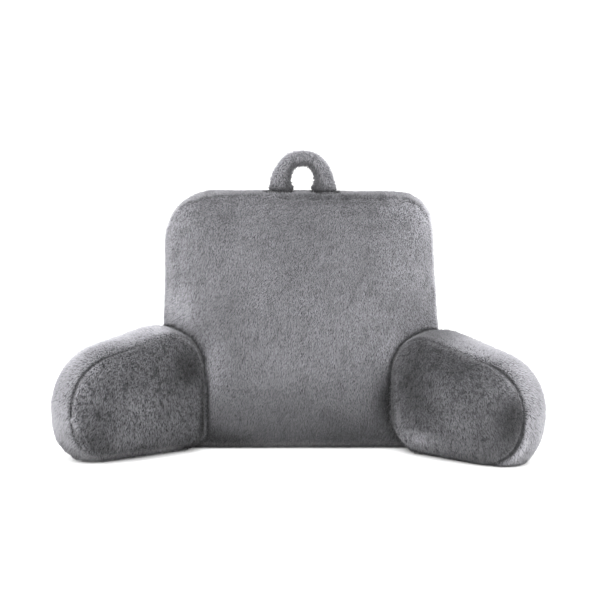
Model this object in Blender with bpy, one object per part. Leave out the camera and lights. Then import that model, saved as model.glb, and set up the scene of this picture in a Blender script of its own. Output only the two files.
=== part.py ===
"""Reading pillow with arms, in metres, +Z up, its front towards -Y.

Four stuffed pieces are sewn together: the back cushion, two arm cushions and a loop
to carry it by. Each is one closed solid, and its surface is the outer face of the plush.
"""

import math
from collections import namedtuple

import bmesh
import bpy
from mathutils import Vector, noise

# One corner of a seam line: its place across and up the panel, and its rounding.
Corner = namedtuple("Corner", "across up radius")
# A soft dip in the front panel, or a swelling where its depth is negative.
Dent = namedtuple("Dent", "across up half_width half_height depth")
Arm = namedtuple("Arm", "name root_x root_y splay_deg thickness flare crown corners dents")

# Stitching: two cushions are sewn with this gap, and a seam is drawn in by its depth.
SEWN_GAP = 0.0004
SEAM_DEPTH = 0.005
# Share by which a boxing bulges more towards the floor than elsewhere.
FLOOR_SAG = 0.5
LUMP_HEIGHT = 0.0022
LUMP_SIZE = 0.085

# Back cushion. Both panels lean, and the boxing between them narrows towards the top.
BACK_FRONT_Y = -0.080
BACK_FRONT_LEAN = math.radians(9.0)
BACK_REAR_Y = 0.080
BACK_REAR_LEAN = math.radians(2.5)
BACK_CROWN_FRONT = 0.034
BACK_CROWN_REAR = 0.026
BACK_BULGE = 0.008
BACK_CENTRE = (0.0, 0.205)
BACK_SECTORS = 72
BACK_CORNERS = (
    Corner(-0.231, 0.005, 0.034),
    Corner(0.239, 0.005, 0.034),
    Corner(0.215, 0.419, 0.047),
    Corner(-0.2265, 0.423, 0.074),
)
BACK_DENTS = (
    Dent(-0.172, 0.416, 0.019, 0.026, 0.006),
    Dent(0.176, 0.396, 0.016, 0.030, 0.004),
    Dent(0.188, 0.232, 0.050, 0.016, 0.006),
)

# Arm cushions. Splay turns each arm outwards from straight ahead. The thickness is between
# the seams at the tip, and flare is how much more of it there is at the root.
ARM_BULGE = 0.010
ARM_SECTORS = 52
ARM_CENTRE = (0.115, 0.095)
ARM_LENGTH = 0.24
ARMS = (
    Arm(
        name="arm_left",
        root_x=-0.185,
        root_y=-0.066,
        splay_deg=-58.0,
        thickness=0.078,
        flare=0.026,
        crown=0.025,
        corners=(
            Corner(-0.0075, 0.013, 0.026),
            Corner(0.230, 0.012, 0.056),
            Corner(0.244, 0.160, 0.088),
            Corner(0.0005, 0.2175, 0.063),
        ),
        dents=(
            Dent(0.214, 0.036, 0.013, 0.022, 0.006),
            Dent(0.190, 0.020, 0.010, 0.018, 0.004),
        ),
    ),
    Arm(
        name="arm_right",
        root_x=0.181,
        root_y=-0.076,
        splay_deg=54.5,
        thickness=0.078,
        flare=0.028,
        crown=0.030,
        corners=(
            Corner(-0.012, 0.011, 0.050),
            Corner(0.226, -0.002, 0.070),
            Corner(0.242, 0.150, 0.084),
            Corner(-0.014, 0.2115, 0.062),
        ),
        dents=(),
    ),
)

# Carrying loop: an arch of padded tube whose feet stand in the top of the back.
LOOP_FOOT_Z = 0.405
LOOP_RISE = 0.0795
LOOP_HALF_SPAN = 0.041
LOOP_SQUARENESS = 1.25
LOOP_X = 0.0015
LOOP_Y = 0.032
LOOP_FOOT_RADIUS = 0.0205
LOOP_TOP_RADIUS = 0.0135
LOOP_HALF_DEPTH = 0.0165
LOOP_STEPS = 30
LOOP_SIDES = 14

PLUSH_COLOUR = (0.25, 0.25, 0.265, 1.0)

# Rings of a panel from its seam to its centre, as shares of the radius.
PANEL_RINGS = (1.0, 0.965, 0.915, 0.84, 0.73, 0.58, 0.40, 0.20)
# Rings of the boxing from the rear seam to the front one.
BACK_BOXING_RINGS = (-1.0, -0.91, -0.75, -0.40, 0.0, 0.40, 0.75, 0.91, 1.0)
ARM_BOXING_RINGS = (-1.0, -0.85, -0.60, -0.30, 0.0, 0.30, 0.60, 0.85, 1.0)


def seam_line(corners, sectors):
    """Points evenly spaced along a polygon with rounded corners, and the outward normal at each."""
    dense = []
    for i, corner in enumerate(corners):
        here = Vector((corner.across, corner.up))
        before = Vector(corners[i - 1][:2])
        after = Vector(corners[(i + 1) % len(corners)][:2])
        to_before = (before - here).normalized()
        to_after = (after - here).normalized()
        half_angle = to_before.angle(to_after) / 2
        centre = here + (to_before + to_after).normalized() * corner.radius / math.sin(half_angle)
        start = here + to_before * corner.radius / math.tan(half_angle)
        turn = math.pi - 2 * half_angle
        arc_steps = 24
        for step in range(arc_steps + 1):
            angle = turn * step / arc_steps
            arm = start - centre
            dense.append(
                centre
                + Vector(
                    (
                        arm.x * math.cos(angle) - arm.y * math.sin(angle),
                        arm.x * math.sin(angle) + arm.y * math.cos(angle),
                    )
                )
            )
    lengths = [0.0]
    for i in range(len(dense)):
        lengths.append(lengths[-1] + (dense[(i + 1) % len(dense)] - dense[i]).length)
    points, segment = [], 0
    for k in range(sectors):
        target = lengths[-1] * k / sectors
        while lengths[segment + 1] < target:
            segment += 1
        share = (target - lengths[segment]) / max(lengths[segment + 1] - lengths[segment], 1e-9)
        points.append(dense[segment].lerp(dense[(segment + 1) % len(dense)], share))
    normals = []
    for k in range(sectors):
        along = points[(k + 1) % sectors] - points[k - 1]
        normals.append(Vector((along.y, -along.x)).normalized())
    return points, normals


def dome(share):
    """Height of a stuffed panel from 0 at its seam, share 1, to 1 at its centre, share 0."""
    return (1.0 - share**2.6) ** 0.75


def bulge_of(side):
    """Height of the boxing from 0 at its seams, side -1 and 1, to 1 midway."""
    return 1.0 - abs(side) ** 2.4


def lump(point):
    return LUMP_HEIGHT * noise.noise(point / LUMP_SIZE)


def dent_at(dents, across, up):
    return sum(
        dent.depth
        * math.exp(
            -(((across - dent.across) / dent.half_width) ** 2)
            - ((up - dent.up) / dent.half_height) ** 2
        )
        for dent in dents
    )


def boxed_cushion(name, corners, sectors, centre, place, crowns, bulge, boxing_rings, dents):
    """A stuffed cushion of two crowned panels and a bulging boxing strip.

    place(across, up, side, out) gives a point in space. side runs from -1 at the rear seam
    to 1 at the front one, and out is a distance beyond it towards the front.
    crowns are the front and rear panels' heights.
    """
    line, normals = seam_line(corners, sectors)
    middle = Vector(centre)
    half_width = max(abs(spot.x - middle.x) for spot in line)
    half_height = max(abs(spot.y - middle.y) for spot in line)
    bm = bmesh.new()

    def ring(make_point):
        return [bm.verts.new(make_point(k)) for k in range(sectors)]

    def boxing_ring(side):
        at_seam = abs(side) == 1.0
        offset = -SEAM_DEPTH if at_seam else bulge * bulge_of(side)

        def point(k):
            inward = dent_at(dents, line[k].x, line[k].y) if side > 0 else 0.0
            sag = 1 + FLOOR_SAG * max(0.0, -normals[k].y) if offset > 0 else 1.0
            spot = line[k] + normals[k] * (offset * sag - inward)
            return place(spot.x, spot.y, side, -math.copysign(SEAM_DEPTH, side) if at_seam else 0.0)

        return ring(point)

    def panel_point(spot, share, side):
        crown = crowns[0] if side > 0 else crowns[1]
        height = crown * dome(share)
        if side > 0:
            height -= dent_at(dents, spot.x, spot.y)
        return place(spot.x, spot.y, side, side * height)

    def inner_spot(k, share):
        """Rings follow the seam at the rim and round off to ellipses towards the centre."""
        reach = line[k] - middle
        oval = reach / math.hypot(reach.x / half_width, reach.y / half_height)
        return middle + oval.lerp(reach, share) * share

    def panel_rings(side):
        return [
            ring(lambda k, share=share: panel_point(inner_spot(k, share), share, side))
            for share in PANEL_RINGS[1:]
        ]

    def join(first, second):
        for k in range(sectors):
            after = (k + 1) % sectors
            bm.faces.new((first[k], first[after], second[after], second[k]))

    boxing = [boxing_ring(side) for side in boxing_rings]
    front = [boxing[-1], *panel_rings(1.0)]
    rear = [boxing[0], *panel_rings(-1.0)]
    for rings in (boxing, front, rear):
        for first, second in zip(rings, rings[1:]):
            join(first, second)
    for rings, side in ((front, 1.0), (rear, -1.0)):
        tip = bm.verts.new(panel_point(middle, 0.0, side))
        for k in range(sectors):
            bm.faces.new((rings[-1][k], rings[-1][(k + 1) % sectors], tip))
    bmesh.ops.recalc_face_normals(bm, faces=bm.faces)
    bm.normal_update()
    moved = [(vert, vert.co + vert.normal * lump(vert.co)) for vert in bm.verts]
    for vert, spot in moved:
        # What would hang below the surface that it stands on is pressed flat.
        vert.co = (spot.x, spot.y, max(spot.z, 0.0))
    return finished(name, bm)


def finished(name, bm):
    mesh = bpy.data.meshes.new(name)
    bm.to_mesh(mesh)
    bm.free()
    mesh.shade_smooth()
    cushion = bpy.data.objects.new(name, mesh)
    bpy.context.scene.collection.objects.link(cushion)
    mesh.materials.append(plush(name + "_plush"))
    return cushion


def plush(name):
    material = bpy.data.materials.new(name)
    material.use_nodes = True
    shader = material.node_tree.nodes["Principled BSDF"]
    shader.inputs["Base Color"].default_value = PLUSH_COLOUR
    shader.inputs["Roughness"].default_value = 0.95
    shader.inputs["Metallic"].default_value = 0.0
    return material


def place_on_back(across, up, side, out):
    front = BACK_FRONT_Y + up * math.tan(BACK_FRONT_LEAN)
    rear = BACK_REAR_Y + up * math.tan(BACK_REAR_LEAN)
    y = (front + rear) / 2 - side * (rear - front) / 2 - out
    return Vector((across, y, up))


def place_on_arm(arm):
    """The arm runs along its splay, and its inner panel faces the sitter."""
    splay = math.radians(arm.splay_deg)
    along = Vector((math.sin(splay), -math.cos(splay), 0.0))
    inward = Vector((-math.cos(splay), -math.sin(splay), 0.0)) * math.copysign(1.0, splay)
    root = Vector((arm.root_x, arm.root_y, 0.0))

    def place(across, up, side, out):
        flare = arm.flare * (1.0 - across / ARM_LENGTH) * (1.0 - side) / 2
        offset = side * arm.thickness / 2 - flare + out
        return root + along * across + inward * offset + Vector((0, 0, up))

    return place


def clearance_of(back):
    """The back grown by the sewn gap, to cut the pieces that are sewn onto it."""
    grown = bpy.data.objects.new("back_clearance", back.data.copy())
    for vert in grown.data.vertices:
        vert.co += vert.normal * SEWN_GAP
    grown.hide_render = True
    grown.display_type = "WIRE"
    bpy.context.scene.collection.objects.link(grown)
    return grown


def cut_to(piece, cutter):
    cut = piece.modifiers.new("sewn_to_back", "BOOLEAN")
    cut.operation = "DIFFERENCE"
    cut.solver = "EXACT"
    cut.object = cutter


def arch(turn):
    """The loop's centre line, from its foot at +X, turn 0, to the one at -X, turn pi."""
    side, rise = math.cos(turn), math.sin(turn)
    return Vector(
        (
            LOOP_X + LOOP_HALF_SPAN * math.copysign(abs(side) ** (1 / LOOP_SQUARENESS), side),
            LOOP_Y,
            LOOP_FOOT_Z + LOOP_RISE * math.copysign(abs(rise) ** (1 / LOOP_SQUARENESS), rise),
        )
    )


def carry_loop():
    """A padded tube along an arch, oval in section and thinner at its top."""
    bm = bmesh.new()
    rings = []
    for step in range(LOOP_STEPS + 1):
        turn = math.pi * step / LOOP_STEPS
        centre = arch(turn)
        forward = (arch(turn + 0.01) - arch(turn - 0.01)).normalized()
        across = Vector((forward.z, 0.0, -forward.x))
        radius = LOOP_FOOT_RADIUS + (LOOP_TOP_RADIUS - LOOP_FOOT_RADIUS) * math.sin(turn)
        rings.append(
            [
                bm.verts.new(
                    centre
                    + across * radius * math.cos(math.tau * side / LOOP_SIDES)
                    + Vector((0.0, LOOP_HALF_DEPTH * math.sin(math.tau * side / LOOP_SIDES), 0.0))
                )
                for side in range(LOOP_SIDES)
            ]
        )
    for first, second in zip(rings, rings[1:]):
        for side in range(LOOP_SIDES):
            after = (side + 1) % LOOP_SIDES
            bm.faces.new((first[side], first[after], second[after], second[side]))
    bm.faces.new(rings[0])
    bm.faces.new(rings[-1])
    bmesh.ops.recalc_face_normals(bm, faces=bm.faces)
    return finished("carry_loop", bm)


def main():
    for old in list(bpy.data.objects):
        bpy.data.objects.remove(old)
    back = boxed_cushion(
        "back_cushion",
        BACK_CORNERS,
        BACK_SECTORS,
        BACK_CENTRE,
        place_on_back,
        (BACK_CROWN_FRONT, BACK_CROWN_REAR),
        BACK_BULGE,
        BACK_BOXING_RINGS,
        BACK_DENTS,
    )
    cutter = clearance_of(back)
    for arm in ARMS:
        cushion = boxed_cushion(
            arm.name,
            arm.corners,
            ARM_SECTORS,
            ARM_CENTRE,
            place_on_arm(arm),
            (arm.crown, arm.crown),
            ARM_BULGE,
            ARM_BOXING_RINGS,
            arm.dents,
        )
        cut_to(cushion, cutter)
    cut_to(carry_loop(), cutter)


main()
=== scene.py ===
import math

import bmesh
import bpy
import numpy as np
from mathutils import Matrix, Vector, noise
from mathutils.bvhtree import BVHTree
from mathutils.kdtree import KDTree


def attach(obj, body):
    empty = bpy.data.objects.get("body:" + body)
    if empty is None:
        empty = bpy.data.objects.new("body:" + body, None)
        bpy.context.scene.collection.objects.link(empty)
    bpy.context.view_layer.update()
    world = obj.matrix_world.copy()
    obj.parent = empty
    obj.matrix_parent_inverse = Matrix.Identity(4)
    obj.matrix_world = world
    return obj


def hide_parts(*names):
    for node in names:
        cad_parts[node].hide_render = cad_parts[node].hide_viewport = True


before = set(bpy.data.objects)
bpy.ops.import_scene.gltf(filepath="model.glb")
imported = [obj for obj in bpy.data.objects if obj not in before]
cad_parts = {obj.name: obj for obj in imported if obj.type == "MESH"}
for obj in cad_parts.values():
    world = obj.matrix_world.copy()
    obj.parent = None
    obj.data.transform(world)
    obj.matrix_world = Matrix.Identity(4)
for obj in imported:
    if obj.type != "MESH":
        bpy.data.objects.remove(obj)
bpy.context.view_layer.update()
scene = bpy.context.scene
noise.seed_set(7)  # without this the noise starts from the clock
print("frame loaded")

# metres throughout, the front faces -Y
plush = {
    "pileDepth": 0.0036,  # how far the pile stands off its backing
    "tuftLength": 0.0052,
    "tuftRadius": 0.00082,
    "lean": 0.95,  # tangent of the angle that the brushed pile leans at
    "backingVoxel": 0.0055,
    "bareDepth": 0.85,  # where no pile grows the cloth lies this part of its depth nearer the surface
    "seamDepth": 0.005,  # the seams are drawn in by this much
    "seamPoints": 360,
    "sewn": (0.001, 0.007),  # the cloth is sewn to its neighbour this near it, and free this far off
    "crease": (0.0070, 0.0115),  # the painted shade of the crease beside that is darkest this near, and ends this far off
    # how dark the painted shade in that crease gets
    "creaseShade": 0.90,
    "facingDown": (0.6, 0.92),
    "onFloor": (0.002, 0.012),
    "floorLift": 0.001,  # the cloth ends this far above the floor, its pile just above it
    "lockFloor": 0.0004,
    "roughness": 0.85,
    "specular": 0.25,
    "sheen": 0.18,
    "sheenRoughness": 0.45,
    "lightest": (0.82, 0.815, 0.865),
    "paintedRootShade": (0.36, 0.36, 0.37),  # painted shade at a lock's root, as a part of the colour at its tip
    "rootToTip": (0.05, 0.75),  # the heights in the map between which that painted shade clears
    "backingGrain": 260,
    "backingBlue": 1.06,
    "floorShade": (0.15, 0.001, 0.010),  # painted shade where the pile meets the floor: how light it is there, and the heights it clears over
}


def linked(name, mesh):
    piece = bpy.data.objects.new(name, mesh)
    scene.collection.objects.link(piece)
    return piece


def applied(piece):
    # the evaluated mesh becomes the piece's own, with no modifier left on it
    mesh = bpy.data.meshes.new_from_object(piece.evaluated_get(bpy.context.evaluated_depsgraph_get()))
    piece.modifiers.clear()
    old = piece.data
    piece.data = mesh
    bpy.data.meshes.remove(old)
    return piece


def coords(mesh):
    flat = np.empty(len(mesh.vertices) * 3)
    mesh.vertices.foreach_get("co", flat)
    return flat.reshape(-1, 3)


def normalsOf(mesh):
    flat = np.empty(len(mesh.vertices) * 3)
    mesh.vertex_normals.foreach_get("vector", flat)
    return flat.reshape(-1, 3)


def setCoords(mesh, points):
    points[:, 2] = np.maximum(points[:, 2], plush["floorLift"])  # nothing goes through the floor
    mesh.vertices.foreach_set("co", points.ravel())
    mesh.update()


def smoothstep(value, low, high):
    t = np.clip((value - low) / (high - low), 0.0, 1.0)
    return t * t * (3 - 2 * t)


def rising(value, lowest, low, high):
    # from lowest up to 1, between low and high
    return lowest + (1 - lowest) * smoothstep(value, low, high)


def hump(distance, width):
    # 1 at no distance, falling off over the width
    return np.exp(-((distance / width) ** 2))


def seamLine(corners, cornerSteps=24):
    # a polygon with rounded corners, as evenly spaced points across and up
    dense = []
    for i, (across, up, radius) in enumerate(corners):
        here = Vector((across, up))
        toBefore = (Vector(corners[i - 1][:2]) - here).normalized()
        toAfter = (Vector(corners[(i + 1) % len(corners)][:2]) - here).normalized()
        half = toBefore.angle(toAfter) / 2
        centre = here + (toBefore + toAfter).normalized() * radius / math.sin(half)
        arm = here + toBefore * radius / math.tan(half) - centre
        turn = math.pi - 2 * half
        for step in range(cornerSteps + 1):
            c, s = math.cos(turn * step / cornerSteps), math.sin(turn * step / cornerSteps)
            dense.append((centre.x + arm.x * c - arm.y * s, centre.y + arm.x * s + arm.y * c))
    dense = np.array(dense + dense[:1])
    lengths = np.concatenate([[0], np.cumsum(np.linalg.norm(np.diff(dense, axis=0), axis=1))])
    at = np.linspace(0, lengths[-1], plush["seamPoints"], endpoint=False)
    line = np.stack([np.interp(at, lengths, dense[:, 0]), np.interp(at, lengths, dense[:, 1])], 1)
    run = np.roll(line, -1, 0) - np.roll(line, 1, 0)
    inward = np.stack([-run[:, 1], run[:, 0]], 1) / np.linalg.norm(run, axis=1, keepdims=True)
    return line + inward * plush["seamDepth"]


def treeOf(*nodeNames):
    # one search tree over several fixed solids
    verts, faces = [], []
    for name in nodeNames:
        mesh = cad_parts[name].data
        base = len(verts)
        verts += [v.co.copy() for v in mesh.vertices]
        faces += [[base + i for i in p.vertices] for p in mesh.polygons]
    return BVHTree.FromPolygons(verts, faces)


def distanceTo(tree, points):
    return np.array([tree.find_nearest(Vector(p))[3] for p in points])


def seamDistance(seams, points):
    spots = np.concatenate(seams)
    tree = KDTree(len(spots))
    for i, spot in enumerate(spots):
        tree.insert(spot, i)
    tree.balance()
    return np.array([tree.find(p)[2] for p in points])


def contact(points, normals, neighbours, crease=plush["crease"]):
    # where the piece is sewn to its neighbours, where it stands on the floor, and the painted shade of the
    # crease by the sewing
    distance = distanceTo(treeOf(*neighbours), points)
    touching = 1 - smoothstep(distance, *plush["sewn"])
    facingDown = smoothstep(-normals[:, 2], *plush["facingDown"])
    standing = facingDown * (1 - smoothstep(points[:, 2], *plush["onFloor"]))
    return touching, standing, 1 - smoothstep(distance, *crease)


def backing(nodeName, name, neighbours, voxel=plush["backingVoxel"], depth=plush["pileDepth"]):
    # the cloth under the pile: the solid, evenly meshed and drawn in by the depth of the pile
    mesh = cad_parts[nodeName].data.copy()
    mesh.materials.clear()
    bm = bmesh.new()
    bm.from_mesh(mesh)
    bmesh.ops.remove_doubles(bm, verts=bm.verts, dist=1e-5)
    bm.to_mesh(mesh)
    bm.free()
    piece = linked(name, mesh)
    even = piece.modifiers.new("even", "REMESH")
    even.mode = "VOXEL"
    even.voxel_size = voxel
    even.use_smooth_shade = True
    applied(piece)
    points, normals = coords(piece.data), normalsOf(piece.data)
    touching, standing = contact(points, normals, neighbours)[:2]
    bare = np.maximum(touching, standing)
    points -= normals * (depth * (1 - plush["bareDepth"] * bare))[:, None]
    setCoords(piece.data, points)
    return piece, touching, standing


stuffing = {
    "pressure": 4.0,
    "quality": 4,
    "tension": 10,
    "bending": 0.6,
    "frames": 20,
    "leastPin": 0.02,
}


def puffed(piece, pinned, cap):
    # stuffing presses the cloth out between its seams
    start = coords(piece.data)
    group = piece.vertex_groups.new(name="sewn")
    for i, weight in enumerate(pinned):
        if weight > stuffing["leastPin"]:
            group.add([i], float(weight), "REPLACE")
    cloth = piece.modifiers.new("stuffing", "CLOTH")
    cloth.settings.vertex_group_mass = group.name
    cloth.settings.use_pressure = True
    cloth.settings.uniform_pressure_force = stuffing["pressure"]
    cloth.settings.effector_weights.gravity = 0.0
    cloth.settings.quality = stuffing["quality"]
    cloth.settings.tension_stiffness = stuffing["tension"]
    cloth.settings.bending_stiffness = stuffing["bending"]
    cloth.point_cache.frame_start, cloth.point_cache.frame_end = 1, stuffing["frames"]
    for frameNumber in range(1, stuffing["frames"] + 1):
        scene.frame_set(frameNumber)
    applied(piece)
    piece.vertex_groups.clear()
    moved = coords(piece.data) - start
    length = np.linalg.norm(moved, axis=1, keepdims=True)
    moved *= cap * np.tanh(length / cap) / np.maximum(length, 1e-9)
    setCoords(piece.data, start + moved)
    scene.frame_set(1)


def refined(piece, lines, reaches=(0.009, 0.005)):
    # finer faces along the lines
    bm = bmesh.new()
    bm.from_mesh(piece.data)
    for reach in reaches:
        bm.verts.ensure_lookup_table()
        distance = seamDistance(lines, np.array([v.co for v in bm.verts]))
        near = [e for e in bm.edges if max(distance[v.index] for v in e.verts) < reach]
        bmesh.ops.subdivide_edges(bm, edges=near, cuts=1, use_grid_fill=True)
        bm.verts.index_update()
    bm.to_mesh(piece.data)
    bm.free()


def drawSeams(piece, seams, strengthOf, depth=0.0040, width=0.0026, fill=0.0034, fillWidth=0.011):
    # the cloth is drawn in along the seams that show, and filled out along those that don't
    points, normals = coords(piece.data), normalsOf(piece.data)
    distance = seamDistance(seams, points)
    strength = strengthOf(points)
    drawn = depth * strength * hump(distance, width)
    drawn -= fill * (1 - strength) * hump(distance, fillWidth)
    points -= normals * drawn[:, None]
    setCoords(piece.data, points)


def folded(across, up, folds, fade=0.6):
    # how deep the cloth is folded in at each point, and how much shade is painted into the pile there (light,
    # where the shade is negative)
    spots = np.stack([across, up], 1)
    depth, shaded = np.zeros(len(spots)), np.ones(len(spots))
    for a0, u0, a1, u1, width, deep, shade in folds:
        start, run = np.array([a0, u0]), np.array([a1 - a0, u1 - u0])
        t = np.clip((spots - start) @ run / (run @ run), 0.0, 1.0)
        off = np.linalg.norm(spots - start - t[:, None] * run, axis=1)
        near = hump(off, width) * (1 - fade * t)
        depth += deep * near
        shaded *= 1 - shade * near
    return depth, shaded


def noiseField(points, size, shift=0.0):
    return np.array([noise.noise_vector(Vector(p) / size + Vector((shift,) * 3)) for p in points])


def patched(tone, across, up, patches):
    for a, u, halfWidth, halfHeight, change in patches:
        spread = ((across - a) / halfWidth) ** 2 + ((up - u) / halfHeight) ** 2
        tone = tone * (1 + change * np.exp(-spread))
    return tone


mottling = {"broad": 0.12, "broadSize": 0.07, "small": 0.08, "smallSize": 0.022}


def mottle(points, shift, strength=1.0):
    # broad and small patches of the nap, a little lighter or darker
    broad = noiseField(points, mottling["broadSize"], shift)[:, 0]
    small = noiseField(points, mottling["smallSize"], shift + 4)[:, 0]
    return 1 + strength * (mottling["broad"] * broad + mottling["small"] * small)


def storeFloat(mesh, name, values):
    mesh.attributes.new(name, "FLOAT", "POINT").data.foreach_set("value", np.asarray(values, float))


def storeVector(mesh, name, values):
    layer = mesh.attributes.new(name, "FLOAT_VECTOR", "POINT")
    layer.data.foreach_set("vector", np.asarray(values, float).ravel())


nap = {
    "wander": (0.55, 0.065),  # how far it strays from the grain, and over what length
    "leanWander": (0.30, 0.05),
    "lengthWander": (0.12, 0.03),
    "leastAlong": 0.35,  # where the grain runs into the cloth the pile lies less flat
    "sewnShorter": 0.75,
    "sewnBare": (0.80, 0.97),  # the pile thins out between these, where the cloth is sewn
    "standingBare": (0.5, 0.9),  # and where it stands
    "tones": (0.02, 0.98),
}


def brush(
    piece,
    neighbours,
    region,
    tone,
    seamStrength,
    wild=0.0,
    grain=(0.0, -0.3, -1.0),
    length=plush["tuftLength"],
    crease=plush["crease"],
):
    # nap: which way the pile leans; tone: how light it is, painted light and shade included; cover: where it
    # grows
    mesh = piece.data
    points, normals = coords(mesh), normalsOf(mesh)
    touching, standing, shadow = contact(points, normals, neighbours, crease)
    wander, size = nap["wander"]
    way = np.array(grain) + wander * noiseField(points, size)
    way -= normals * (way * normals).sum(1, keepdims=True)
    way /= np.maximum(np.linalg.norm(way, axis=1, keepdims=True), nap["leastAlong"])
    wander, size = nap["leanWander"]
    lean = plush["lean"] * (1 + wander * noiseField(points, size, 7.3)[:, :1])
    storeVector(mesh, "nap", way * lean)
    wander, size = nap["lengthWander"]
    uneven = (1 - nap["sewnShorter"] * touching) * (1 + wander * noiseField(points, size, 3.1)[:, 0])
    storeFloat(mesh, "pileLength", length * uneven)
    storeFloat(mesh, "seamStrength", seamStrength)
    storeFloat(mesh, "wild", np.zeros(len(points)) + wild)
    sewnCover = 1 - smoothstep(touching, *nap["sewnBare"])
    storeFloat(mesh, "cover", sewnCover * (1 - smoothstep(standing, *nap["standingBare"])))
    # the tone takes the painted shade of the crease
    storeFloat(mesh, "tone", np.clip(tone * (1 - plush["creaseShade"] * shadow), *nap["tones"]))
    storeFloat(mesh, "region", region)


def tuftShape():
    # one lock of pile, a thin three-sided cone a unit high
    mesh = bpy.data.meshes.new("tuft")
    ring = [(math.cos(math.tau * i / 3), math.sin(math.tau * i / 3), 0.0) for i in range(3)]
    mesh.from_pydata(ring + [(0, 0, 1)], [], [(0, 1, 3), (1, 2, 3), (2, 0, 3)])
    mesh.shade_smooth()
    storeFloat(mesh, "along", [0, 0, 0, 1])
    return bpy.data.objects.new("tuft", mesh)


def seamWire(name, seams):
    # the seam lines as a mesh of edges, for the pile to part along
    verts, edges = [], []
    for line in seams:
        base = len(verts)
        verts += [tuple(p) for p in line]
        edges += [(base + i, base + (i + 1) % len(line)) for i in range(len(line))]
    mesh = bpy.data.meshes.new(name)
    mesh.from_pydata(verts, edges, [])
    return bpy.data.objects.new(name, mesh)


lock = {
    "crowding": 1.6,  # spots tried for each square of the spacing
    "seamBare": 0.85,  # no lock grows where the seam draws in more than this
    "seamShorter": 0.75,
    # locks in a seam are painted darker by up to this: painted shade in the seam's groove
    "seamShade": 0.95,
    "matRange": (0.50, 0.68),  # free below the first value of the noise, matted above the second
    "matShorter": 0.20,
    "wildStray": 0.7,
    "shortest": 0.88,  # of the length brushed on
    "longer": 0.5,  # a few locks are longer by up to this
    "wildLonger": 0.9,
    "longPower": 5.0,
    "lighter": 0.28,  # most locks are lighter by this, a few are darker
    "darkPower": 2.6,
    "clumpShade": 0.45,
    "mapSpread": 0.004,
    "mapMargin": 0.005,
    "mapRoot": 0.05,
    "mapHeight": 0.9,
}


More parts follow.
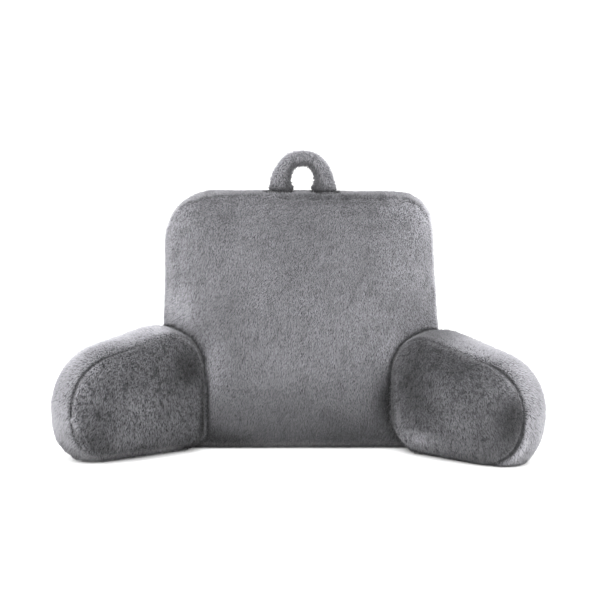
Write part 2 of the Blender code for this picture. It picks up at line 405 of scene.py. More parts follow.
def pileTree():
    tree = bpy.data.node_groups.new("pile", "GeometryNodeTree")
    face = tree.interface
    face.new_socket("Geometry", in_out="OUTPUT", socket_type="NodeSocketGeometry")
    face.new_socket("Geometry", in_out="INPUT", socket_type="NodeSocketGeometry")
    for name, kind in (
        ("Tuft", "Object"),
        ("Seams", "Object"),
        ("Finish", "Material"),
        ("Region", "Float"),
        ("Spacing", "Float"),
        ("Radius", "Float"),
        ("Clump Size", "Float"),
        ("Clump Ruffle", "Float"),
        ("Stray", "Float"),
        ("Fleck", "Float"),
        ("Streak", "Vector"),
        ("Mat Size", "Float"),
        ("Mat Shade", "Float"),
        ("Seam Reach", "Float"),
        ("Seam Part", "Float"),
        ("Seed", "Int"),
    ):
        face.new_socket(name, in_out="INPUT", socket_type="NodeSocket" + kind)
    nodes, links = tree.nodes, tree.links

    def add(kind, values=None, **settings):
        node = nodes.new(kind)
        for key, value in settings.items():
            setattr(node, key, value)
        for key, value in (values or {}).items():
            socket = node.inputs[key]
            if isinstance(value, bpy.types.NodeSocket):
                links.new(value, socket)
            else:
                socket.default_value = value
        return node

    def attribute(name, kind="FLOAT"):
        return add("GeometryNodeInputNamedAttribute", {0: name}, data_type=kind).outputs["Attribute"]

    def maths(operation, *values):
        return add("ShaderNodeMath", dict(enumerate(values)), operation=operation).outputs[0]

    def vectors(operation, *values, **named):
        values = {**dict(enumerate(values)), **named}
        return add("ShaderNodeVectorMath", values, operation=operation).outputs[0]

    def atRandom(highest, seed):
        # a number from 0 to highest for each lock
        values = {2: 0.0, 3: highest, "Seed": seed}
        return add("FunctionNodeRandomValue", values, data_type="FLOAT").outputs[1]

    def less(value, share):
        # 1 where the value is 0, less by the share where it is 1
        return maths("SUBTRACT", 1.0, maths("MULTIPLY", value, share))

    inputs = add("NodeGroupInput").outputs
    offRegion = maths("ABSOLUTE", maths("SUBTRACT", attribute("region"), inputs["Region"]))
    inRegion = maths("LESS_THAN", offRegion, 0.5)
    square = maths("MULTIPLY", inputs["Spacing"], inputs["Spacing"])
    spread = add(
        "GeometryNodeDistributePointsOnFaces",
        {
            "Mesh": inputs["Geometry"],
            "Distance Min": inputs["Spacing"],
            "Density Max": maths("DIVIDE", lock["crowding"], square),
            "Density Factor": maths("MULTIPLY", attribute("cover"), inRegion),
            "Seed": inputs["Seed"],
        },
        distribute_method="POISSON",
    )
    # the pile parts along a seam and is shorter in it
    here = add("GeometryNodeInputPosition").outputs[0]
    wire = add("GeometryNodeObjectInfo", {"Object": inputs["Seams"]}).outputs["Geometry"]
    nearest = add("GeometryNodeProximity", {0: wire}, target_element="EDGES").outputs
    away = vectors("NORMALIZE", vectors("SUBTRACT", here, nearest["Position"]))
    reach = maths("DIVIDE", nearest["Distance"], inputs["Seam Reach"])
    nearSeam = maths("EXPONENT", maths("MULTIPLY", maths("MULTIPLY", reach, reach), -1.0))
    nearSeam = maths("MULTIPLY", nearSeam, attribute("seamStrength"))
    tooNear = maths("GREATER_THAN", nearSeam, lock["seamBare"])
    rooted = add(
        "GeometryNodeDeleteGeometry",
        {"Geometry": spread.outputs["Points"], "Selection": tooNear},
        domain="POINT",
    )
    parting = vectors("SCALE", away, Scale=maths("MULTIPLY", nearSeam, inputs["Seam Part"]))
    # clumps of neighbouring locks lean and shade alike, drawn out along the streak
    along = add("ShaderNodeVectorMath", {0: here, 1: inputs["Streak"]}, operation="DOT_PRODUCT")
    place = vectors("SUBTRACT", here, vectors("SCALE", inputs["Streak"], Scale=along.outputs["Value"]))
    scale = maths("DIVIDE", 1.0, inputs["Clump Size"])
    clump = add("ShaderNodeTexNoise", {"Vector": place, "Scale": scale, "Detail": 1.0})
    scale = maths("DIVIDE", 1.0, inputs["Mat Size"])
    matted = add("ShaderNodeTexNoise", {"Vector": place, "Scale": scale, "Detail": 2.0}).outputs[0]
    matRange = {"Value": matted, 1: lock["matRange"][0], 2: lock["matRange"][1]}
    matted = add("ShaderNodeMapRange", matRange, interpolation_type="SMOOTHSTEP").outputs[0]
    ruffle = vectors("SUBTRACT", clump.outputs["Color"], (0.5, 0.5, 0.5))
    ruffle = vectors("SCALE", ruffle, Scale=inputs["Clump Ruffle"])
    anyWay = {0: (-1, -1, -1), 1: (1, 1, 1), "Seed": 11}
    stray = add("FunctionNodeRandomValue", anyWay, data_type="FLOAT_VECTOR").outputs["Value"]
    wild = attribute("wild")
    stray = vectors("SCALE", stray, Scale=maths("MULTIPLY_ADD", wild, lock["wildStray"], inputs["Stray"]))
    heading = vectors("ADD", spread.outputs["Normal"], attribute("nap", "FLOAT_VECTOR"))
    for part in (ruffle, stray, parting):
        heading = vectors("ADD", heading, part)
    aim = add("FunctionNodeAlignRotationToVector", {"Vector": heading}, axis="Z").outputs[0]
    longest = maths("MULTIPLY_ADD", wild, lock["wildLonger"], lock["longer"])
    longer = maths("POWER", atRandom(1.0, 12), lock["longPower"])
    unevenLength = maths("MULTIPLY_ADD", longer, longest, lock["shortest"])
    length = maths("MULTIPLY", attribute("pileLength"), unevenLength)
    length = maths("MULTIPLY", length, less(matted, lock["matShorter"]))
    length = maths("MULTIPLY", length, less(nearSeam, lock["seamShorter"]))
    unevenShade = maths("SUBTRACT", lock["lighter"], maths("POWER", atRandom(1.0, 13), lock["darkPower"]))
    clumpShade = maths("MULTIPLY", maths("SUBTRACT", clump.outputs[0], 0.5), lock["clumpShade"])
    shade = maths("MULTIPLY_ADD", maths("ADD", unevenShade, clumpShade), inputs["Fleck"], 1.0)
    # painted shade on the locks in a seam
    inSeam = maths("POWER", nearSeam, 2.0)
    shade = maths("MULTIPLY", shade, less(inSeam, lock["seamShade"]))
    shade = maths("MULTIPLY", shade, less(matted, inputs["Mat Shade"]))
    shade = maths("MULTIPLY", shade, attribute("tone"))
    toned = add(
        "GeometryNodeStoreNamedAttribute",
        {"Geometry": rooted.outputs[0], "Name": "shade", "Value": shade},
        data_type="FLOAT",
        domain="POINT",
    )
    size = add("ShaderNodeCombineXYZ", {0: inputs["Radius"], 1: inputs["Radius"], 2: length})
    shape = add("GeometryNodeObjectInfo", {"Object": inputs["Tuft"]})
    planted = add(
        "GeometryNodeInstanceOnPoints",
        {
            "Points": toned.outputs[0],
            "Instance": shape.outputs["Geometry"],
            "Rotation": aim,
            "Scale": size.outputs[0],
        },
    )
    real = add("GeometryNodeRealizeInstances", {"Geometry": planted.outputs[0]})
    # pile that meets the floor is pressed flat on it
    split = add("ShaderNodeSeparateXYZ", {0: here}).outputs
    lifted = maths("MAXIMUM", split[2], plush["lockFloor"])
    level = add("ShaderNodeCombineXYZ", {0: split[0], 1: split[1], 2: lifted})
    settled = add("GeometryNodeSetPosition", {"Geometry": real.outputs[0], "Position": level.outputs[0]})
    # the map holds each lock's own shade across and the way from root to tip up
    across = maths("ADD", attribute("shade"), atRandom(lock["mapSpread"], 14))
    across = add("ShaderNodeClamp", {0: across, 1: lock["mapMargin"], 2: 1 - lock["mapMargin"]})
    lift = maths("MULTIPLY_ADD", attribute("along"), lock["mapHeight"], lock["mapRoot"])
    spot = add("ShaderNodeCombineXYZ", {0: across.outputs[0], 1: lift})
    mapped = add(
        "GeometryNodeStoreNamedAttribute",
        {"Geometry": settled.outputs[0], "Name": "OFBake", "Value": spot.outputs[0]},
        data_type="FLOAT2",
        domain="CORNER",
    )
    done = add("GeometryNodeSetMaterial", {"Geometry": mapped.outputs[0], "Material": inputs["Finish"]})
    links.new(done.outputs[0], add("NodeGroupOutput").inputs[0])
    return tree


growing = {  # the tree's inputs, where a piece of pile has none of its own
    "Radius": plush["tuftRadius"],
    "Clump Size": 0.0020,
    "Clump Ruffle": 0.34,
    "Stray": 0.30,
    "Fleck": 0.50,
    "Streak": (0.35, 0.0, 0.65),
    "Mat Size": 0.011,
    "Mat Shade": 0.14,
    "Seam Reach": 0.0045,
    "Seam Part": 2.0,
}
brushed = ("nap", "tone", "cover", "region", "pileLength", "seamStrength", "wild")  # what brush stores


def growPile(name, backingPiece, wire, region, spacing, seed, **changes):
    # plants the pile of one region and keeps it as a mesh of its own
    holder = linked(name, backingPiece.data.copy())
    grow = holder.modifiers.new("pile", "NODES")
    grow.node_group = pileNodes
    values = {
        **growing,
        "Tuft": tuft,
        "Seams": wire,
        "Finish": plushFinish,
        "Region": float(region),
        "Spacing": spacing,
        "Seed": seed,
        **changes,
    }
    for item in pileNodes.interface.items_tree:
        if item.item_type == "SOCKET" and item.in_out == "INPUT" and item.name in values:
            grow[item.identifier] = values[item.name]
    applied(holder)
    for layer in brushed + ("along", "shade"):
        if layer in holder.data.attributes:
            holder.data.attributes.remove(holder.data.attributes[layer])
    print(name, "locks", len(holder.data.polygons) // 3)
    return holder


def finish(name):
    material = bpy.data.materials.new(name)
    material.use_nodes = True
    nodes, links = material.node_tree.nodes, material.node_tree.links
    shader = nodes["Principled BSDF"]
    shader.inputs["Roughness"].default_value = plush["roughness"]
    shader.inputs["Specular IOR Level"].default_value = plush["specular"]
    return material, nodes, links, shader


def ramp(nodes, stops):
    node = nodes.new("ShaderNodeValToRGB")
    for element, (position, colour) in zip(node.color_ramp.elements, stops):
        element.position, element.color = position, (*colour, 1)
    return node


def plushMaterial():
    material, nodes, links, shader = finish("greyPlush")
    shader.inputs["Sheen Weight"].default_value = plush["sheen"]
    shader.inputs["Sheen Roughness"].default_value = plush["sheenRoughness"]
    where = nodes.new("ShaderNodeUVMap")
    where.uv_map = "OFBake"
    split = nodes.new("ShaderNodeSeparateXYZ")
    links.new(where.outputs[0], split.inputs[0])
    shade = ramp(nodes, ((0.0, (0.0, 0.0, 0.0)), (1.0, plush["lightest"])))
    links.new(split.outputs[0], shade.inputs[0])
    root, tip = plush["rootToTip"]
    # each lock darkens towards its root: painted shade deep in the pile
    depth = ramp(nodes, ((root, plush["paintedRootShade"]), (tip, (1.0, 1.0, 1.0))))
    links.new(split.outputs[1], depth.inputs[0])
    mix = nodes.new("ShaderNodeMix")
    mix.data_type = "RGBA"
    mix.blend_type = "MULTIPLY"
    mix.inputs[0].default_value = 1.0
    links.new(shade.outputs[0], mix.inputs[6])
    links.new(depth.outputs[0], mix.inputs[7])
    links.new(mix.outputs[2], shader.inputs["Base Color"])
    return material


def backingMaterial(name, dark, light):
    # the backing is coloured far darker than the pile: painted shade that shows between the locks and in the
    # seams
    material, nodes, links, shader = finish(name)
    where = nodes.new("ShaderNodeTexCoord")
    grain = nodes.new("ShaderNodeTexNoise")
    grain.inputs["Scale"].default_value = plush["backingGrain"]
    links.new(where.outputs["Object"], grain.inputs["Vector"])
    blue = plush["backingBlue"]
    tint = ramp(nodes, ((0.3, (dark, dark, dark * blue)), (0.7, (light, light, light * blue))))
    links.new(grain.outputs[0], tint.inputs[0])
    links.new(tint.outputs[0], shader.inputs["Base Color"])
    return material


plushFinish = plushMaterial()
backBacking = backingMaterial("backBacking", 0.040, 0.090)
armBacking = backingMaterial("armBacking", 0.026, 0.062)
tuft = tuftShape()
pileNodes = pileTree()


back = {
    "frontY": -0.080,  # at the floor, and leaning back from there
    "frontLean": math.radians(9.0),
    "rearY": 0.080,
    "rearLean": math.radians(2.5),
    "corners": [  # across, up, radius of the seam line
        (-0.231, 0.005, 0.034),
        (0.239, 0.005, 0.034),
        (0.215, 0.419, 0.047),
        (-0.2265, 0.423, 0.074),
    ],
    "pinned": 0.012,  # the cloth is held this far from a seam while it is stuffed
    "puff": 0.004,
    "grain": (-0.25, -0.3, -1.0),
    "tone": 0.390,
    "low": (0.28, -0.01, 0.16),  # painted shade low on the front: how light it is at the floor, and between which heights it brightens
    "frontShades": (0.08, 0.01),  # the front's shades set in between these depths
    "facingUp": (0.24, 0.36, 0.80),  # painted shade on the pile that faces up: how much darker it is, and from which slope
    "topSeam": (0.26, 0.012, 0.012),  # a band of painted shade behind the top front seam: darker by, how far back, half width
    "topEdge": (0.39, 0.41),  # the heights over which that band and the seam set in
    "seamShown": (0.050, 0.07, 0.11),  # the middle of the seam that shows, where it fades, where it ends
    "seamBreaks": (0.65, 0.9, 0.012),  # how strong it is on the whole, how uneven, over what length
    "seamFront": 0.02,
    "gathers": (0.0034, 0.013, 0.018),  # height, size, how far from the seam they reach
    "gathersUp": (0.38, 0.41),
    "ragged": 0.016,  # the pile stands out raggedly this near the top seam
    "raggedUp": (0.36, 0.42),
    "patches": [  # where the pile is lighter or darker, partly brushed nap, partly painted shade beside the arms and at the floor and painted light on the flanks: across, up, half width, half height, change
        (0.144, 0.084, 0.023, 0.044, -0.92),
        (0.050, 0.055, 0.022, 0.020, -0.22),
        (-0.150, 0.020, 0.014, 0.030, -0.35),
        (-0.125, 0.010, 0.050, 0.022, -0.80),
        (-0.150, 0.130, 0.022, 0.042, 0.85),
        (0.152, 0.170, 0.026, 0.036, 0.55),
        (0.080, 0.015, 0.060, 0.028, -0.32),
        (0.000, 0.100, 0.050, 0.030, -0.12),
        (0.058, 0.419, 0.066, 0.012, -0.28),
        (-0.195, 0.370, 0.035, 0.050, 0.12),
        (0.205, 0.375, 0.030, 0.050, 0.15),
        (0.150, 0.405, 0.020, 0.020, 0.25),
        (-0.200, 0.228, 0.024, 0.036, 0.42),
        (0.205, 0.395, 0.020, 0.025, 0.30),
        (-0.125, 0.225, 0.040, 0.040, -0.15),
        (-0.090, 0.434, 0.090, 0.006, -0.20),
        (0.045, 0.235, 0.050, 0.035, 0.06),
        (-0.020, 0.270, 0.015, 0.050, -0.07),
        (-0.215, 0.290, 0.030, 0.110, 0.36),
        (0.190, 0.345, 0.050, 0.080, 0.38),
        (0.215, 0.250, 0.025, 0.060, 0.25),
        (0.100, 0.180, 0.030, 0.030, 0.12),
    ],
    "folds": [  # from across, up to across, up, width, depth (a ridge if negative), painted shade (painted light if negative)
        (-0.162, 0.424, -0.166, 0.398, 0.0045, 0.0030, 0.35),
        (0.137, 0.420, 0.154, 0.390, 0.0050, 0.0012, 0.30),
        (-0.120, 0.424, -0.116, 0.408, 0.0050, -0.0016, 0.0),
        (-0.060, 0.422, -0.050, 0.404, 0.0060, 0.0014, 0.12),
        (0.080, 0.420, 0.076, 0.402, 0.0060, 0.0014, 0.15),
    ],
    "frontSpacing": 0.00108,
    "boxingSpacing": 0.00162,
    "rearSpacing": 0.00172,
    "boxingRadius": 0.00108,
    "rearRadius": 0.00115,
    "regions": {"frontLeft": 0, "boxing": 1, "rear": 2, "frontRight": 3},
}


def backSides(points):
    # how far each point lies before the front seam's plane and behind the rear one's
    front = back["frontY"] + plush["seamDepth"] + points[:, 2] * math.tan(back["frontLean"])
    rear = back["rearY"] - plush["seamDepth"] + points[:, 2] * math.tan(back["rearLean"])
    return front - points[:, 1], points[:, 1] - rear


def backSeams():
    line = seamLine(back["corners"])
    up = line[:, 1]
    front = back["frontY"] + plush["seamDepth"] + up * math.tan(back["frontLean"])
    rear = back["rearY"] - plush["seamDepth"] + up * math.tan(back["rearLean"])
    return [np.stack([line[:, 0], y, up], 1) for y in (front, rear)]


def makeBack():
    neighbours = ("arm_left", "arm_right", "carry_loop")
    skin, touching, standing = backing("back_cushion", "backBacking", neighbours)
    seams = backSeams()
    pins = hump(seamDistance(seams, coords(skin.data)), back["pinned"])
    puffed(skin, np.maximum.reduce([pins, touching, standing]), back["puff"])

    def seamStrength(points):
        # the seam shows beside the loop and is lost in the pile elsewhere
        middle, fades, ends = back["seamShown"]
        shown = 1 - smoothstep(np.abs(points[:, 0] - middle), fades, ends)
        shown = shown * smoothstep(points[:, 2], *back["topEdge"])
        strong, uneven, size = back["seamBreaks"]
        broken = strong + uneven * noiseField(points, size, 5.0)[:, 0]
        return 0.02 + 0.98 * shown * np.clip(broken, 0.2, 1.0) * (points[:, 1] < back["seamFront"])

    refined(skin, seams)
    drawSeams(skin, seams, seamStrength)
    points, normals = coords(skin.data), normalsOf(skin.data)
    before, behind = backSides(points)
    regions = back["regions"]
    front = np.where(points[:, 0] < 0, regions["frontLeft"], regions["frontRight"])
    region = np.where(before > 0, front, np.where(behind > 0, regions["rear"], regions["boxing"]))
    deep, shaded = folded(points[:, 0], points[:, 2], back["folds"])
    facing = np.clip(-normals[:, 1], 0, 1)
    # small gathers along the top seam
    height, size, reach = back["gathers"]
    gathers = height * noiseField(points, size, 9.0)[:, 0] * smoothstep(points[:, 2], *back["gathersUp"])
    gathers *= hump(before, reach)
    setCoords(skin.data, points - normals * (deep * facing - gathers)[:, None])
    # painted shade low on the front
    low = rising(points[:, 2], *back["low"])
    # the patches of nap and of painted light and shade, and the folds' painted shade
    low = patched(low, points[:, 0], points[:, 2], back["patches"]) * shaded
    onFront = smoothstep(points[:, 1], *back["frontShades"])
    tone = back["tone"] * mottle(points, 1.7) * (1 + (low - 1) * onFront)
    # painted shade on the pile that faces up
    darker, gentle, level = back["facingUp"]
    tone *= 1 - darker * smoothstep(normalsOf(skin.data)[:, 2], gentle, level)
    # painted shade in a band behind the top front seam
    darker, setBack, halfWidth = back["topSeam"]
    band = hump(np.minimum(before + setBack, 0), halfWidth) * (before < 0)
    tone *= 1 - darker * band * smoothstep(points[:, 2], *back["topEdge"])
    # painted shade along the floor
    tone *= rising(points[:, 2], *plush["floorShade"])
    ragged = hump(before, back["ragged"]) * smoothstep(points[:, 2], *back["raggedUp"])
    brush(skin, neighbours, region, tone, seamStrength(points), ragged, back["grain"])
    wire = seamWire("backSeams", seams)

    def grown(name, region, spacing, seed, **changes):
        return growPile(name, skin, wire, regions[region], back[spacing], seed, **changes)

    piles = [
        grown("backFrontLeftPile", "frontLeft", "frontSpacing", 21),
        grown("backFrontRightPile", "frontRight", "frontSpacing", 24),
        grown("backBoxingPile", "boxing", "boxingSpacing", 22, Radius=back["boxingRadius"]),
        grown("backRearPile", "rear", "rearSpacing", 23, Radius=back["rearRadius"]),
    ]
    bpy.data.objects.remove(wire)
    return skin, piles


arms = {
    "arm_left": {
        "root": (-0.185, -0.066),
        "splay": math.radians(-58.0),
        "flare": 0.026,
        "corners": [  # along the arm, up, radius of the seam line
            (-0.0075, 0.013, 0.026),
            (0.230, 0.012, 0.056),
            (0.244, 0.160, 0.088),
            (0.0005, 0.2175, 0.063),
        ],
        "patches": [  # on the inner panel, partly brushed nap, partly painted shade near the root and painted light near the outer end: along the arm, up, half width, half height, change
            (0.030, 0.150, 0.050, 0.045, -0.66),
            (-0.010, 0.100, 0.012, 0.110, -0.60),
            (0.080, 0.092, 0.035, 0.030, -0.25),
            (0.030, 0.030, 0.025, 0.025, -0.28),
            (0.120, 0.130, 0.030, 0.018, -0.14),
            (0.150, 0.172, 0.050, 0.018, 0.10),
            (0.215, 0.150, 0.030, 0.050, 0.30),
            (0.200, 0.100, 0.020, 0.020, 0.15),
            (0.190, 0.048, 0.028, 0.038, -0.42),
            (0.200, 0.128, 0.030, 0.025, 0.35),
            (0.020, 0.060, 0.026, 0.060, -0.25),
            (0.202, 0.168, 0.025, 0.018, 0.90),
            (0.200, 0.098, 0.020, 0.020, -0.30),
            (0.090, 0.195, 0.030, 0.014, 0.22),
            (0.034, 0.140, 0.028, 0.026, -0.36),
            (0.110, 0.045, 0.030, 0.018, 0.10),
            (0.030, 0.038, 0.026, 0.018, 0.35),
            (0.136, 0.034, 0.026, 0.016, 0.40),
        ],
        "folds": [  # as on the back, along the arm
            (0.186, 0.092, 0.160, 0.060, 0.0060, 0.0016, 0.20),
            (0.070, 0.130, 0.110, 0.152, 0.0060, 0.0014, 0.18),
            (0.040, 0.105, 0.075, 0.112, 0.0050, 0.0014, 0.20),
            (0.2345, 0.082, 0.2213, 0.0445, 0.0028, 0.0036, 0.80),
            (0.2213, 0.0445, 0.2043, 0.0115, 0.0030, 0.0040, 0.80),
            (0.2270, 0.080, 0.2135, 0.0445, 0.0038, -0.0040, -0.45),
            (0.2135, 0.0445, 0.1965, 0.0120, 0.0040, -0.0045, -0.45),
        ],
        "lip": (0.222, 0.050, 0.055),  # along the arm, up, how far the drawn-up seam reaches
        "lipSide": 1,  # 1 on the inner panel's side of the seam, -1 on the boxing's
        "seamShown": (0.02, 0.12, 0.20, 0.60),  # along the arm: starts, half, full, and the half strength
        "boxingTone": 1.14,
        "low": (0.35, 0.075),  # painted shade low down: how light the pile is at the floor, and how far up that reaches
        "fleck": 1.40,
        "matted": 0.52,
        "shadeFrom": (0.015, 0.070),  # along the arm, where the painted shade of the back ends
        # how dark that painted shade is on the boxing beside the back
        "rootShade": 0.86,
        "streak": (-0.30, 0.00, 0.35),  # which way the clumps are drawn out
    },
    "arm_right": {
        "root": (0.181, -0.076),
        "splay": math.radians(54.5),
        "flare": 0.028,
        "corners": [
            (-0.012, 0.011, 0.050),
            (0.226, -0.002, 0.070),
            (0.242, 0.150, 0.084),
            (-0.014, 0.2115, 0.062),
        ],
        # as on the left arm: brushed nap, painted shade near the root, painted light near the outer end
        "patches": [
            (0.035, 0.125, 0.045, 0.055, -0.62),
            (-0.012, 0.100, 0.012, 0.110, -0.60),
            (0.100, 0.165, 0.040, 0.030, -0.25),
            (0.045, 0.062, 0.030, 0.028, -0.25),
            (0.216, 0.078, 0.024, 0.045, -0.70),
            (0.170, 0.055, 0.030, 0.030, -0.15),
            (0.120, 0.110, 0.035, 0.045, 0.12),
            (0.044, 0.032, 0.032, 0.018, 1.00),
            (0.042, 0.165, 0.028, 0.020, -0.25),
            (0.160, 0.100, 0.028, 0.026, -0.22),
            (0.219, 0.138, 0.024, 0.020, 0.50),
            (0.222, 0.098, 0.020, 0.022, -0.28),
        ],
        "folds": [
            (0.196, 0.088, 0.150, 0.040, 0.0060, 0.0016, 0.22),
            (0.206, 0.060, 0.170, 0.022, 0.0050, 0.0016, 0.22),
            (0.020, 0.120, 0.060, 0.150, 0.0060, 0.0014, 0.20),
            (0.110, 0.150, 0.160, 0.130, 0.0060, 0.0012, 0.15),
        ],
        "lip": (0.226, 0.025, 0.050),
        "lipSide": -1,
        "seamShown": (0.02, 0.13, 0.19, 0.40),
        "boxingTone": 1.04,
        "low": (0.60, 0.040),
        "fleck": 0.95,
        "matted": 0.42,
        "shadeFrom": (0.040, 0.130),
        "rootShade": 0.62,
        "streak": (0.50, -0.15, 0.45),
    },
}
bothArms = {
    "length": 0.24,
    "thickness": 0.078,
    "pinned": 0.010,
    "puff": 0.003,
    "seam": {"depth": 0.0052, "width": 0.0022},
    "foldsAt": 0.045,  # the fold lines lie this far inwards of the arm's middle
    "foldPoints": 12,
    "lipHeight": 0.0055,
    "lipOff": 0.0065,  # how far off the seam the lip is highest
    "lipWidth": 0.0040,
    # the lip is painted lighter by this: painted light on its ridge
    "lipPaintedLight": 0.45,
    "seamBreaks": 0.014,
    "foldEdge": (0.0, 0.004),  # the folds set in this far inwards of the panel's seam
    "panelEdge": 0.001,  # the panel's tone sets in over this on each side of it
    "mottling": (0.4, 1.9),  # outside the panel, and what the panel adds
    "lowLight": (0.10, 0.05, 0.14),  # the boxing is lighter by this low down, up to the heights given
    "endShade": (0.65, -0.010, 0.012),  # and painted darker by this at its root's end: painted shade where it meets the back
    # the painted shade of the crease by the back is darkest this near, and ends this far off
    "crease": (0.014, 0.028),
    "wild": 0.1,
    "grain": (0.5, (0, -0.2, -0.8)),  # along the arm, and across, back and up
    "panelTone": 0.24,
    "boxingTone": 0.45,
    "panelSpacing": 0.00104,
    "panelPile": {"Clump Size": 0.0019, "Clump Ruffle": 0.65, "Mat Size": 0.0062},
    "outsideSpacing": 0.00148,
    "outsidePile": {
        "Radius": 0.00100,
        "Clump Size": 0.0020,
        "Clump Ruffle": 0.22,
        "Stray": 0.20,
        "Fleck": 0.18,
        "Mat Size": 0.014,
        "Mat Shade": 0.10,
    },
}


def armAxes(arm):
    along = np.array([math.sin(arm["splay"]), -math.cos(arm["splay"]), 0.0])
    inward = np.array([-math.cos(arm["splay"]), -math.sin(arm["splay"]), 0.0])
    inward *= math.copysign(1.0, arm["splay"])
    return np.array([*arm["root"], 0.0]), along, inward


def panelSide(arm, points):
    # how far each point lies inwards of the inner panel's seam
    root, _, inward = armAxes(arm)
    return (points - root) @ inward - (bothArms["thickness"] / 2 - plush["seamDepth"])


def armSeams(arm):
    root, along, inward = armAxes(arm)
    line = seamLine(arm["corners"])
    flat = root + line[:, :1] * along + np.array([0, 0, 1.0]) * line[:, 1:]
    flare = arm["flare"] * (1 - line[:, :1] / bothArms["length"])
    half = bothArms["thickness"] / 2 - plush["seamDepth"]
    return [flat + inward * half, flat - inward * (half + flare)]


def makeArm(nodeName, name, seed):
    arm, neighbours = arms[nodeName], ("back_cushion",)
    skin, touching, standing = backing(nodeName, name + "Backing", neighbours)
    seams = armSeams(arm)
    pins = hump(seamDistance(seams, coords(skin.data)), bothArms["pinned"])
    puffed(skin, np.maximum.reduce([pins, touching, standing]), bothArms["puff"])

    root, along, inward = armAxes(arm)

    def seamStrength(points):
        starts, half, full, halfStrength = arm["seamShown"]
        across = (points - root) @ along
        shown = halfStrength * smoothstep(across, starts, half)
        shown = shown + (1 - halfStrength) * smoothstep(across, half, full)
        broken = 1 + (1 - shown) * noiseField(points, bothArms["seamBreaks"], 6.0)[:, 0]
        return np.clip(0.08 + 0.92 * shown * broken, 0.05, 1.0)

    foldLines = []  # the faces are finer along these too
    for a0, u0, a1, u1, *_ in arm["folds"]:
        t = np.linspace(0, 1, bothArms["foldPoints"])[:, None]
        acrossUp = np.array([a0, u0]) * (1 - t) + np.array([a1, u1]) * t
        line = root + acrossUp[:, :1] * along + acrossUp[:, 1:] * np.array([0, 0, 1.0])
        foldLines.append(line + inward * bothArms["foldsAt"])
    refined(skin, seams + foldLines)
    drawSeams(skin, seams, seamStrength, **bothArms["seam"])
    points, normals = coords(skin.data), normalsOf(skin.data)
    inner = panelSide(arm, points)
    across, up = (points - root) @ along, points[:, 2]
    # the lip beside the seam at the low corner, the folds of the inner panel
    distance = seamDistance(seams[:1], points)
    a, u, reach = arm["lip"]
    drawnUp = np.exp(-(((across - a) ** 2 + (up - u) ** 2) / reach**2)) * (inner * arm["lipSide"] > 0)
    lip = drawnUp * hump(distance - bothArms["lipOff"], bothArms["lipWidth"])
    deep, shaded = folded(across, up, arm["folds"])
    facing = smoothstep(inner, *bothArms["foldEdge"])
    setCoords(skin.data, points + normals * (bothArms["lipHeight"] * lip - deep * facing)[:, None])
    panel, outside = smoothstep(inner, -bothArms["panelEdge"], bothArms["panelEdge"]), inner < 0
    boxing = bothArms["boxingTone"] * arm["boxingTone"]
    tone = boxing + (bothArms["panelTone"] - boxing) * panel
    least, added = bothArms["mottling"]
    atFloor, reachUp = arm["low"]
    # painted shade low down on the arm
    tone *= mottle(points, 2.9, added * panel + least) * rising(up, atFloor, 0.0, reachUp)
    # painted shade of the back on the boxing by the root
    tone *= 1 - arm["rootShade"] * outside * (1 - smoothstep(across, *arm["shadeFrom"]))
    lighter, *heights = bothArms["lowLight"]
    tone *= 1 + lighter * outside * (1 - smoothstep(up, *heights))
    # painted shade at the root's end
    darker, *reaches = bothArms["endShade"]
    tone *= 1 - darker * outside * (1 - smoothstep(across, *reaches))
    # painted shade of the folds, painted light on the lip, painted shade along the floor
    tone *= (1 + (shaded - 1) * facing) * (1 + bothArms["lipPaintedLight"] * lip) * rising(up, *plush["floorShade"])
    tone = np.where(inner > 0, patched(tone, across, up, arm["patches"]), tone)
    alongGrain, otherGrain = bothArms["grain"]
    grain = along * alongGrain + np.array(otherGrain)
    region = np.where(inner > 0, 0.0, 1.0)  # the inner panel's pile, and all the rest
    brush(
        skin,
        neighbours,
        region,
        tone,
        seamStrength(points),
        bothArms["wild"],
        grain,
        crease=bothArms["crease"],
    )
    wire = seamWire(name + "Seams", seams)
    panelPile = {
        **bothArms["panelPile"],
        "Streak": arm["streak"],
        "Fleck": arm["fleck"],
        "Mat Shade": arm["matted"],
    }
    outsidePile = bothArms["outsidePile"]
    piles = [
        growPile(name + "PanelPile", skin, wire, 0, bothArms["panelSpacing"], seed, **panelPile),
        growPile(name + "OutsidePile", skin, wire, 1, bothArms["outsideSpacing"], seed + 4, **outsidePile),
    ]
    bpy.data.objects.remove(wire)
    return skin, piles


loop = {
    "centre": (0.0015, 0.032, 0.435),
    "voxel": 0.003,
    "pileDepth": 0.0022,
    "tuftLength": 0.0055,
    "spacing": 0.0012,
    "inner": (-0.018, 0.014),  # towards the centre by this, where the inner side begins and is full
    # the inner side, facing the other foot and the back, is painted darker by this: painted shade
    "innerShade": 0.62,
    "swell": (0.0062, 0.4315, 0.0090),  # how far the feet swell inwards, at which height, half width
    "uneven": (0.0012, 0.016),
    "unevenUp": (0.432, 0.440),
    "tone": 0.47,
    # painted shade low on the feet where they meet the back: how light, and the heights it clears over
    "low": (0.5, 0.428, 0.446),
    "wild": 0.42,
    # the painted shade of the crease by the back is darkest this near, and ends this far off
    "crease": (0.001, 0.006),
    "pile": {"Clump Size": 0.0042, "Clump Ruffle": 1.3, "Stray": 0.6, "Mat Size": 0.009, "Mat Shade": 0.35},
}


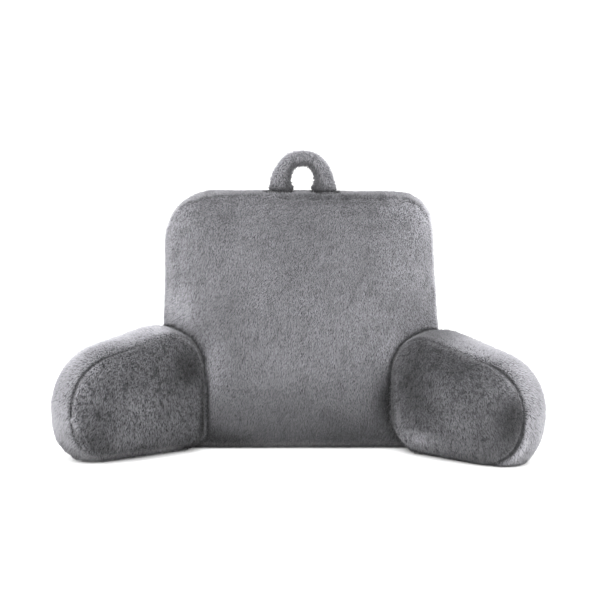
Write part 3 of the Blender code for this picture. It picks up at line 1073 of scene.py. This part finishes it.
def makeLoop():
    neighbours = ("back_cushion",)
    skin = backing("carry_loop", "loopBacking", neighbours, loop["voxel"], loop["pileDepth"])[0]
    points, normals = coords(skin.data), normalsOf(skin.data)
    inside = smoothstep((normals * (np.array(loop["centre"]) - points)).sum(1), *loop["inner"])
    # the feet swell inwards above the seam, and the tube is a little uneven
    most, height, halfWidth = loop["swell"]
    swell = most * inside * hump(points[:, 2] - height, halfWidth)
    most, size = loop["uneven"]
    swell += most * noiseField(points, size, 8.0)[:, 0] * smoothstep(points[:, 2], *loop["unevenUp"])
    points = points + normals * swell[:, None]
    setCoords(skin.data, points)
    # painted shade on the inner side and low on the feet
    tone = loop["tone"] * mottle(points, 4.4) * (1 - loop["innerShade"] * inside)
    tone *= rising(points[:, 2], *loop["low"])
    blank = np.zeros(len(points))
    brush(
        skin,
        neighbours,
        blank,
        tone,
        blank,
        loop["wild"],
        length=loop["tuftLength"],
        crease=loop["crease"],
    )
    wire = seamWire("loopSeams", backSeams())
    pile = growPile("loopPile", skin, wire, 0, loop["spacing"], 41, **loop["pile"])
    bpy.data.objects.remove(wire)
    return skin, [pile]


made = {"back_cushion": makeBack()}
print("back done")
made["arm_left"] = makeArm("arm_left", "armLeft", 31)
made["arm_right"] = makeArm("arm_right", "armRight", 32)
print("arms done")
made["carry_loop"] = makeLoop()
print("loop done")

for nodeName, (skin, piles) in made.items():
    for layer in brushed:
        skin.data.attributes.remove(skin.data.attributes[layer])
    skin.data.materials.append(armBacking if nodeName.startswith("arm") else backBacking)
    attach(skin, "root")
    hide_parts(nodeName)
    for piece in piles:
        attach(piece, "root")
bpy.data.objects.remove(tuft)

studio = {
    "floorColour": (0.95, 0.95, 0.95, 1),
    "camera": (-0.0025, -2.48, 0.545),
    "target": (-0.0025, -0.08, 0.2525),
    "lens": 87.3,
    "lights": [  # name, place, width, height, power
        ("leftSoftbox", (-1.9, -1.00, 0.80), 1.2, 1.8, 48),
        ("rightSoftbox", (1.9, -1.00, 0.80), 1.2, 1.8, 50),
        ("topSoftbox", (0.0, -0.4, 2.2), 2.2, 1.6, 44),
        ("frontSoftbox", (0.0, -2.6, 2.0), 2.0, 1.4, 44),
    ],
    "sky": 1.0,
    "floorFront": -6.0,
    "floorBack": 2.2,  # the floor sweeps up to a wall from here
    "sweep": 1.2,
    "wallTop": 5.0,
    "halfWidth": 7.0,
}


def aimAt(thing, target):
    thing.rotation_euler = (Vector(target) - thing.location).to_track_quat("-Z", "Y").to_euler()


def makeStudio():
    end, sweep, half = studio["floorBack"], studio["sweep"], studio["halfWidth"]
    profile = [(studio["floorFront"], 0.0), (end, 0.0)]
    for angle in np.linspace(0.1, math.pi / 2, 14):
        profile.append((end + sweep * math.sin(angle), sweep - sweep * math.cos(angle)))
    profile.append((end + sweep, studio["wallTop"]))
    mesh = bpy.data.meshes.new("floor")
    verts = [(x, y, z) for y, z in profile for x in (-half, half)]
    mesh.from_pydata(verts, [], [(2 * i, 2 * i + 1, 2 * i + 3, 2 * i + 2) for i in range(len(profile) - 1)])
    mesh.shade_smooth()
    floor = linked("floor", mesh)
    paper, *_, shader = finish("paper")
    shader.inputs["Base Color"].default_value = studio["floorColour"]
    mesh.materials.append(paper)
    for name, place, width, height, power in studio["lights"]:
        lamp = bpy.data.lights.new(name, "AREA")
        lamp.shape = "RECTANGLE"
        lamp.size, lamp.size_y, lamp.energy = width, height, power
        holder = bpy.data.objects.new(name, lamp)
        scene.collection.objects.link(holder)
        holder.location = place
        aimAt(holder, (0, 0, 0.2))
    world = bpy.data.worlds.new("sky")
    world.use_nodes = True
    sky = world.node_tree.nodes["Background"]
    sky.inputs["Color"].default_value = (1, 1, 1, 1)
    sky.inputs["Strength"].default_value = studio["sky"]
    scene.world = world
    camera = bpy.data.objects.new("camera", bpy.data.cameras.new("camera"))
    scene.collection.objects.link(camera)
    camera.location = studio["camera"]
    camera.data.lens = studio["lens"]
    aimAt(camera, studio["target"])
    scene.camera = camera
    scene.view_settings.view_transform = "Standard"


makeStudio()
print("studio done")
